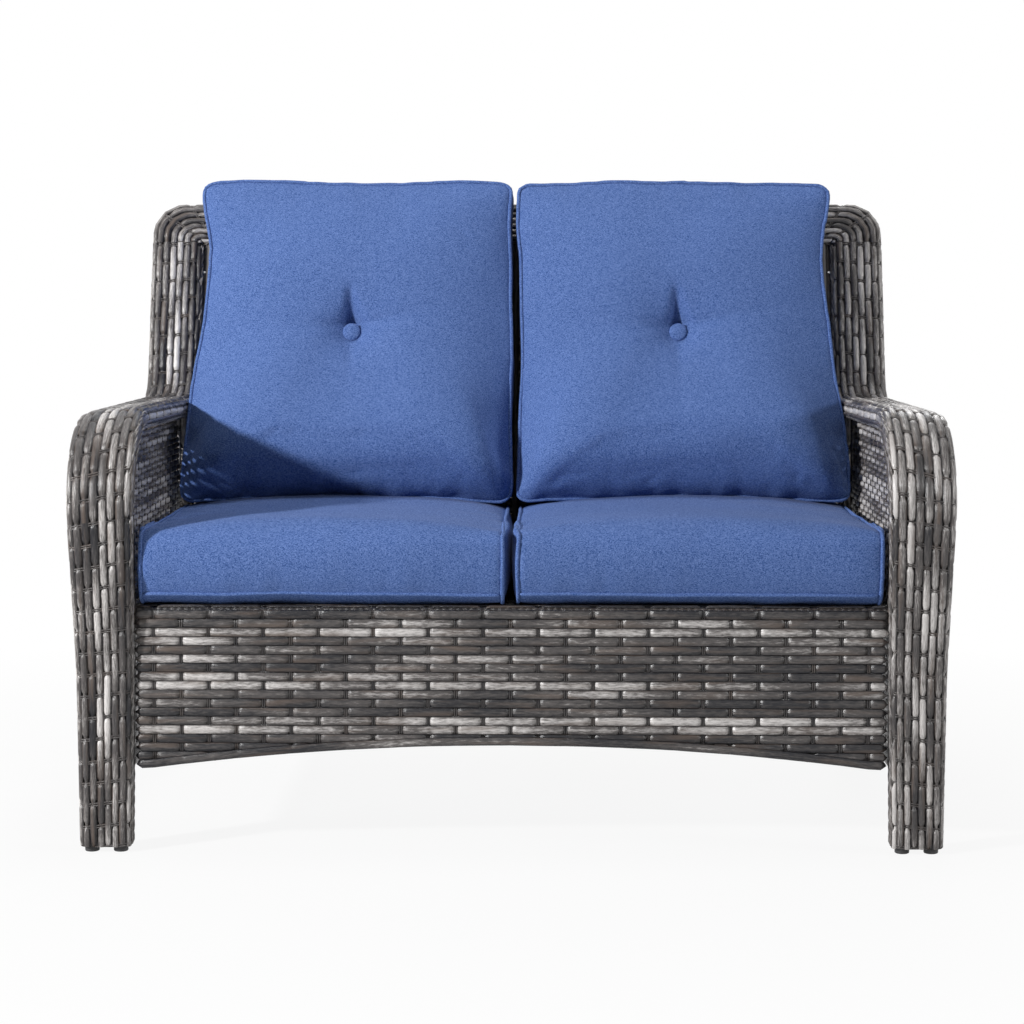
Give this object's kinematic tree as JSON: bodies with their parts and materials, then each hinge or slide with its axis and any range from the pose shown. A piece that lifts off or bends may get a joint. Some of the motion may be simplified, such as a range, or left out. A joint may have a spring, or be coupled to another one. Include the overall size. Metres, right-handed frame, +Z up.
{
  "type": "patio loveseat",
  "caption": "Woven resin wicker patio loveseat with rolled arms, winged back, arched front apron and loose boxed seat and tufted back cushions.",
  "frame": {"origin": "on the floor, under the middle of the overall width and depth", "axes": "+Z up; +X to the right of someone who looks at the front; the front faces -Y"},
  "size_m": [1.2002, 0.7361, 0.9404],
  "materials": {
    "resin_wicker": "half-round resin strand, mixed warm grey, taupe and charcoal, with fine lengthwise grain",
    "coated_steel": "dark powder coat, semi matt",
    "cushion_canvas": "plain woven outdoor canvas, denim blue with a fine heather",
    "cushion_foam": "open cell foam",
    "tuft_thread": "waxed tufting twine",
    "plain_plastic": "moulded, matt",
    "foot_plastic": "moulded, matt black",
    "bright_steel": "zinc plated"
  },
  "bodies": {
    "frame": {"apron_arched_rail": "coated_steel", "apron_struts": "coated_steel", "apron_weave": "resin_wicker", "back_bolt_washers": "bright_steel", "back_bolts": "bright_steel", "back_bottom_rail": "coated_steel", "back_panel_weave": "resin_wicker", "back_stiles": "coated_steel", "back_supports": "coated_steel", "left_arm_weave": "resin_wicker", "left_front_glides": "foot_plastic", "left_front_leg_weave": "resin_wicker", "left_inner_tube": "coated_steel", "left_outer_tube": "coated_steel", "left_rear_glides": "foot_plastic", "left_rear_leg_tubes": "coated_steel", "left_rear_leg_weave": "resin_wicker", "left_side_lower_rail": "coated_steel", "left_side_panel_weave": "resin_wicker", "left_side_seat_rail": "coated_steel", "left_tube_spreaders": "coated_steel", "left_wing_weave": "resin_wicker", "right_arm_weave": "resin_wicker", "right_front_glides": "foot_plastic", "right_front_leg_weave": "resin_wicker", "right_inner_tube": "coated_steel", "right_outer_tube": "coated_steel", "right_rear_glides": "foot_plastic", "right_rear_leg_tubes": "coated_steel", "right_rear_leg_weave": "resin_wicker", "right_side_lower_rail": "coated_steel", "right_side_panel_weave": "resin_wicker", "right_side_seat_rail": "coated_steel", "right_tube_spreaders": "coated_steel", "right_wing_weave": "resin_wicker", "seat_bolt_washers": "bright_steel", "seat_bolts": "bright_steel", "seat_cross_bars": "coated_steel", "seat_deck_weave": "resin_wicker", "seat_front_rail": "coated_steel", "seat_rear_rail": "coated_steel", "seat_side_rails": "coated_steel", "top_rail_lower_tube": "coated_steel", "top_rail_upper_tube": "coated_steel", "top_rail_weave": "resin_wicker"},
    "left_seat_cushion": {"left_seat_cushion_cover": "cushion_canvas", "left_seat_cushion_foam": "cushion_foam"},
    "left_back_cushion": {"left_back_cushion_cover": "cushion_canvas", "left_back_cushion_foam": "cushion_foam", "left_tuft_button": "cushion_canvas", "left_tuft_cord": "tuft_thread", "left_tuft_rear_button": "plain_plastic"},
    "right_seat_cushion": {"right_seat_cushion_cover": "cushion_canvas", "right_seat_cushion_foam": "cushion_foam"},
    "right_back_cushion": {"right_back_cushion_cover": "cushion_canvas", "right_back_cushion_foam": "cushion_foam", "right_tuft_button": "cushion_canvas", "right_tuft_cord": "tuft_thread", "right_tuft_rear_button": "plain_plastic"}
  },
  "joints": [
    {"name": "left_seat_cushion_slide", "type": "slide", "parent": "frame", "child": "left_seat_cushion", "axis": [0, -1, 0], "range_m": [0, 0.5]},
    {"name": "right_seat_cushion_slide", "type": "slide", "parent": "frame", "child": "right_seat_cushion", "axis": [0, -1, 0], "range_m": [0, 0.5]},
    {"name": "left_back_cushion_lift", "type": "slide", "parent": "frame", "child": "left_back_cushion", "axis": [0, 0.2924, 0.9563], "range_m": [0, 0.5]},
    {"name": "right_back_cushion_lift", "type": "slide", "parent": "frame", "child": "right_back_cushion", "axis": [0, 0.2924, 0.9563], "range_m": [0, 0.5]}
  ]
}
